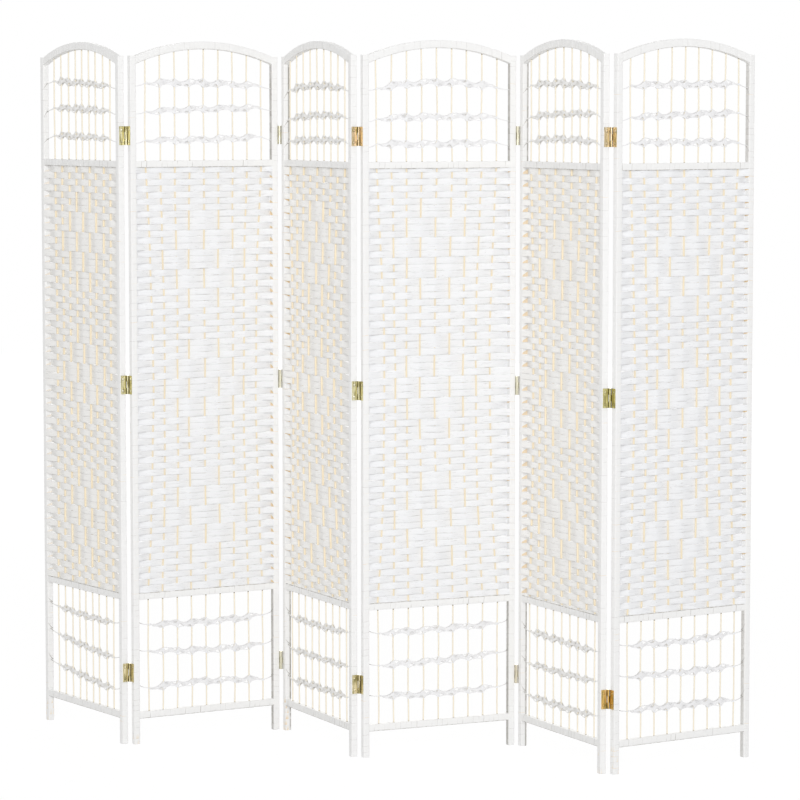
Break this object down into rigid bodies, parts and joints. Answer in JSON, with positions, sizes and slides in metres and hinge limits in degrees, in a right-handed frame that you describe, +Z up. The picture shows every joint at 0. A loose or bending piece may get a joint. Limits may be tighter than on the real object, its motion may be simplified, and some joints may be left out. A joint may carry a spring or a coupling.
{
  "type": "folding room divider",
  "caption": "Folding room divider of hinged wooden panels with arched tops, a field of woven paper strips round upright sticks, and open corded sections above and below.",
  "frame": {"origin": "on the floor, at the middle of the box round the screen as it stands", "axes": "+Z up, +X along the line of the screen from panel 1 to panel 6, -Y towards the viewer"},
  "size_m": [1.7944, 0.3451, 1.7],
  "materials": {
    "wrapped_frame": "wood wound with white paper tape, satin",
    "natural_stick": "bare pale wood",
    "paper_strip": "flat folded white paper, matte",
    "paper_cord": "twined white paper cord, matte",
    "hinge_brass": "pressed brass, lightly polished",
    "screw_brass": "countersunk brass screw"
  },
  "bodies": {
    "panel_1": {"panel_1_left_stile": "wrapped_frame", "panel_1_right_stile": "wrapped_frame", "panel_1_arched_top_rail": "wrapped_frame", "panel_1_cross_rails": "wrapped_frame", "panel_1_warp_sticks": "natural_stick", "panel_1_woven_field": "paper_strip", "panel_1_tied_cords": "paper_cord", "panel_1_hinge_leaves": "hinge_brass", "panel_1_hinge_screws": "screw_brass", "joint_1_hinge_pins": "hinge_brass"},
    "panel_2": {"panel_2_left_stile": "wrapped_frame", "panel_2_right_stile": "wrapped_frame", "panel_2_arched_top_rail": "wrapped_frame", "panel_2_cross_rails": "wrapped_frame", "panel_2_warp_sticks": "natural_stick", "panel_2_woven_field": "paper_strip", "panel_2_tied_cords": "paper_cord", "panel_2_hinge_leaves": "hinge_brass", "panel_2_hinge_screws": "screw_brass", "joint_2_hinge_pins": "hinge_brass"},
    "panel_3": {"panel_3_left_stile": "wrapped_frame", "panel_3_right_stile": "wrapped_frame", "panel_3_arched_top_rail": "wrapped_frame", "panel_3_cross_rails": "wrapped_frame", "panel_3_warp_sticks": "natural_stick", "panel_3_woven_field": "paper_strip", "panel_3_tied_cords": "paper_cord", "panel_3_hinge_leaves": "hinge_brass", "panel_3_hinge_screws": "screw_brass", "joint_3_hinge_pins": "hinge_brass"},
    "panel_4": {"panel_4_left_stile": "wrapped_frame", "panel_4_right_stile": "wrapped_frame", "panel_4_arched_top_rail": "wrapped_frame", "panel_4_cross_rails": "wrapped_frame", "panel_4_warp_sticks": "natural_stick", "panel_4_woven_field": "paper_strip", "panel_4_tied_cords": "paper_cord", "panel_4_hinge_leaves": "hinge_brass", "panel_4_hinge_screws": "screw_brass", "joint_4_hinge_pins": "hinge_brass"},
    "panel_5": {"panel_5_left_stile": "wrapped_frame", "panel_5_right_stile": "wrapped_frame", "panel_5_arched_top_rail": "wrapped_frame", "panel_5_cross_rails": "wrapped_frame", "panel_5_warp_sticks": "natural_stick", "panel_5_woven_field": "paper_strip", "panel_5_tied_cords": "paper_cord", "panel_5_hinge_leaves": "hinge_brass", "panel_5_hinge_screws": "screw_brass", "joint_5_hinge_pins": "hinge_brass"},
    "panel_6": {"panel_6_left_stile": "wrapped_frame", "panel_6_right_stile": "wrapped_frame", "panel_6_arched_top_rail": "wrapped_frame", "panel_6_cross_rails": "wrapped_frame", "panel_6_warp_sticks": "natural_stick", "panel_6_woven_field": "paper_strip", "panel_6_tied_cords": "paper_cord", "panel_6_hinge_leaves": "hinge_brass", "panel_6_hinge_screws": "screw_brass"}
  },
  "joints": [
    {"name": "joint_1_fold", "type": "hinge", "parent": "panel_1", "child": "panel_2", "pos_m": [-0.5792, -0.11668, 0.8755], "axis": [0, 0, 1], "range_deg": [-87, 93]},
    {"name": "joint_2_fold", "type": "hinge", "parent": "panel_2", "child": "panel_3", "pos_m": [-0.28339, 0.16162, 0.8755], "axis": [0, 0, -1], "range_deg": [-94.5, 85.5]},
    {"name": "joint_3_fold", "type": "hinge", "parent": "panel_3", "child": "panel_4", "pos_m": [0.00504, -0.12433, 0.8755], "axis": [0, 0, 1], "range_deg": [-88.5, 91.5]},
    {"name": "joint_4_fold", "type": "hinge", "parent": "panel_4", "child": "panel_5", "pos_m": [0.32832, 0.12153, 0.8755], "axis": [0, 0, -1], "range_deg": [-88, 92]},
    {"name": "joint_5_fold", "type": "hinge", "parent": "panel_5", "child": "panel_6", "pos_m": [0.61923, -0.1619, 0.8755], "axis": [0, 0, 1], "range_deg": [-96.5, 83.5]}
  ]
}
